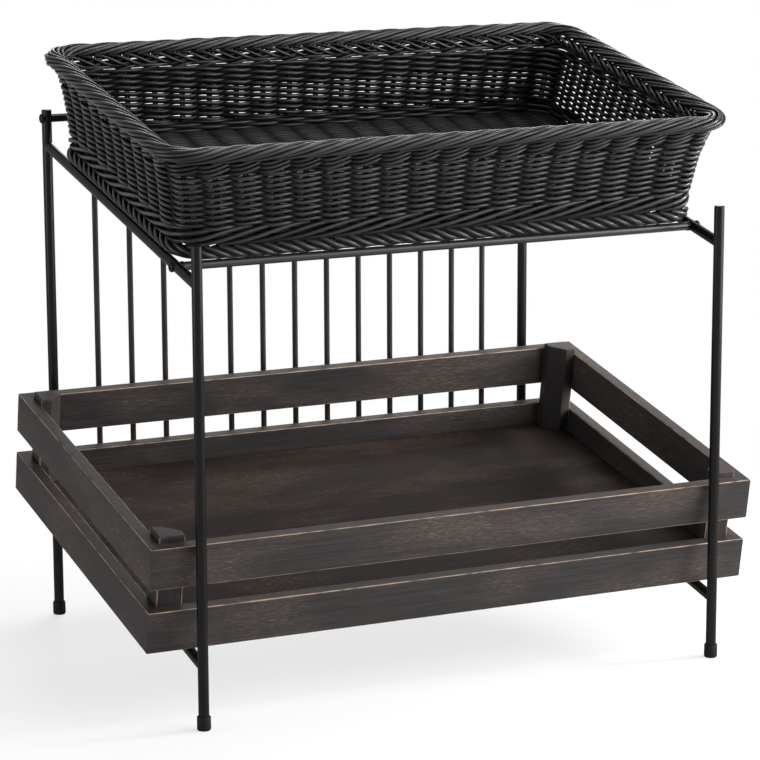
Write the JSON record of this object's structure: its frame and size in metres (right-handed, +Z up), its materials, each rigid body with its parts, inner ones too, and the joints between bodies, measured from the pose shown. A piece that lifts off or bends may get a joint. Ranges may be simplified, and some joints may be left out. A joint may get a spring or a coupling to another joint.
{
  "type": "two-tier buffet stand",
  "caption": "Black round-bar buffet stand with sloping tiers: a woven basket lifts off the upper rods and a slatted wooden crate slides on the lower rods, with a rod grille at the back.",
  "frame": {"origin": "on the floor, midway between the four legs", "axes": "+Z up, +X along the stand's width, front towards -Y"},
  "size_m": [0.556, 0.3796, 0.5284],
  "materials": {
    "black_steel": "satin black powder coat",
    "screw_black": "blackened steel",
    "foot_cap": "matte black",
    "stained_wood": "dark grey-brown stain, rubbed edges",
    "crate_floor_wood": "dark stain",
    "woven_strand": "charcoal strand, soft sheen"
  },
  "bodies": {
    "stand": {"front_leg_left": "black_steel", "front_leg_right": "black_steel", "back_leg_left": "black_steel", "back_leg_right": "black_steel", "foot_cap_front_left": "foot_cap", "foot_cap_front_right": "foot_cap", "foot_cap_back_left": "foot_cap", "foot_cap_back_right": "foot_cap", "upper_side_rod_left": "black_steel", "upper_side_rod_right": "black_steel", "lower_side_rod_left": "black_steel", "lower_side_rod_right": "black_steel", "front_cross_bar": "black_steel", "upper_back_bar": "black_steel", "lower_back_bar": "black_steel", "cross_bar_washers": "screw_black", "front_bar_screws": "screw_black", "back_bar_screws": "screw_black", "grille_rod_01": "black_steel", "grille_rod_02": "black_steel", "grille_rod_03": "black_steel", "grille_rod_04": "black_steel", "grille_rod_05": "black_steel", "grille_rod_06": "black_steel", "grille_rod_07": "black_steel", "grille_rod_08": "black_steel", "grille_rod_09": "black_steel", "grille_rod_10": "black_steel", "grille_rod_11": "black_steel", "grille_rod_12": "black_steel", "grille_rod_13": "black_steel"},
    "crate": {"crate_upper_front_board": "stained_wood", "crate_upper_back_board": "stained_wood", "crate_upper_left_board": "stained_wood", "crate_upper_right_board": "stained_wood", "crate_lower_front_board": "stained_wood", "crate_lower_back_board": "stained_wood", "crate_lower_left_board": "stained_wood", "crate_lower_right_board": "stained_wood", "crate_post_front_left": "stained_wood", "crate_post_front_right": "stained_wood", "crate_post_back_left": "stained_wood", "crate_post_back_right": "stained_wood", "crate_floor": "crate_floor_wood"},
    "basket": {"basket_rim": "woven_strand", "basket_wall": "woven_strand", "basket_base": "woven_strand", "basket_foot": "woven_strand"}
  },
  "joints": [
    {"name": "basket_lift", "type": "slide", "parent": "stand", "child": "basket", "axis": [0, 0, 1], "range_m": [0, 0.2]},
    {"name": "crate_slide", "type": "slide", "parent": "stand", "child": "crate", "axis": [1, 0, 0], "range_m": [-0.23, 0.23]}
  ]
}
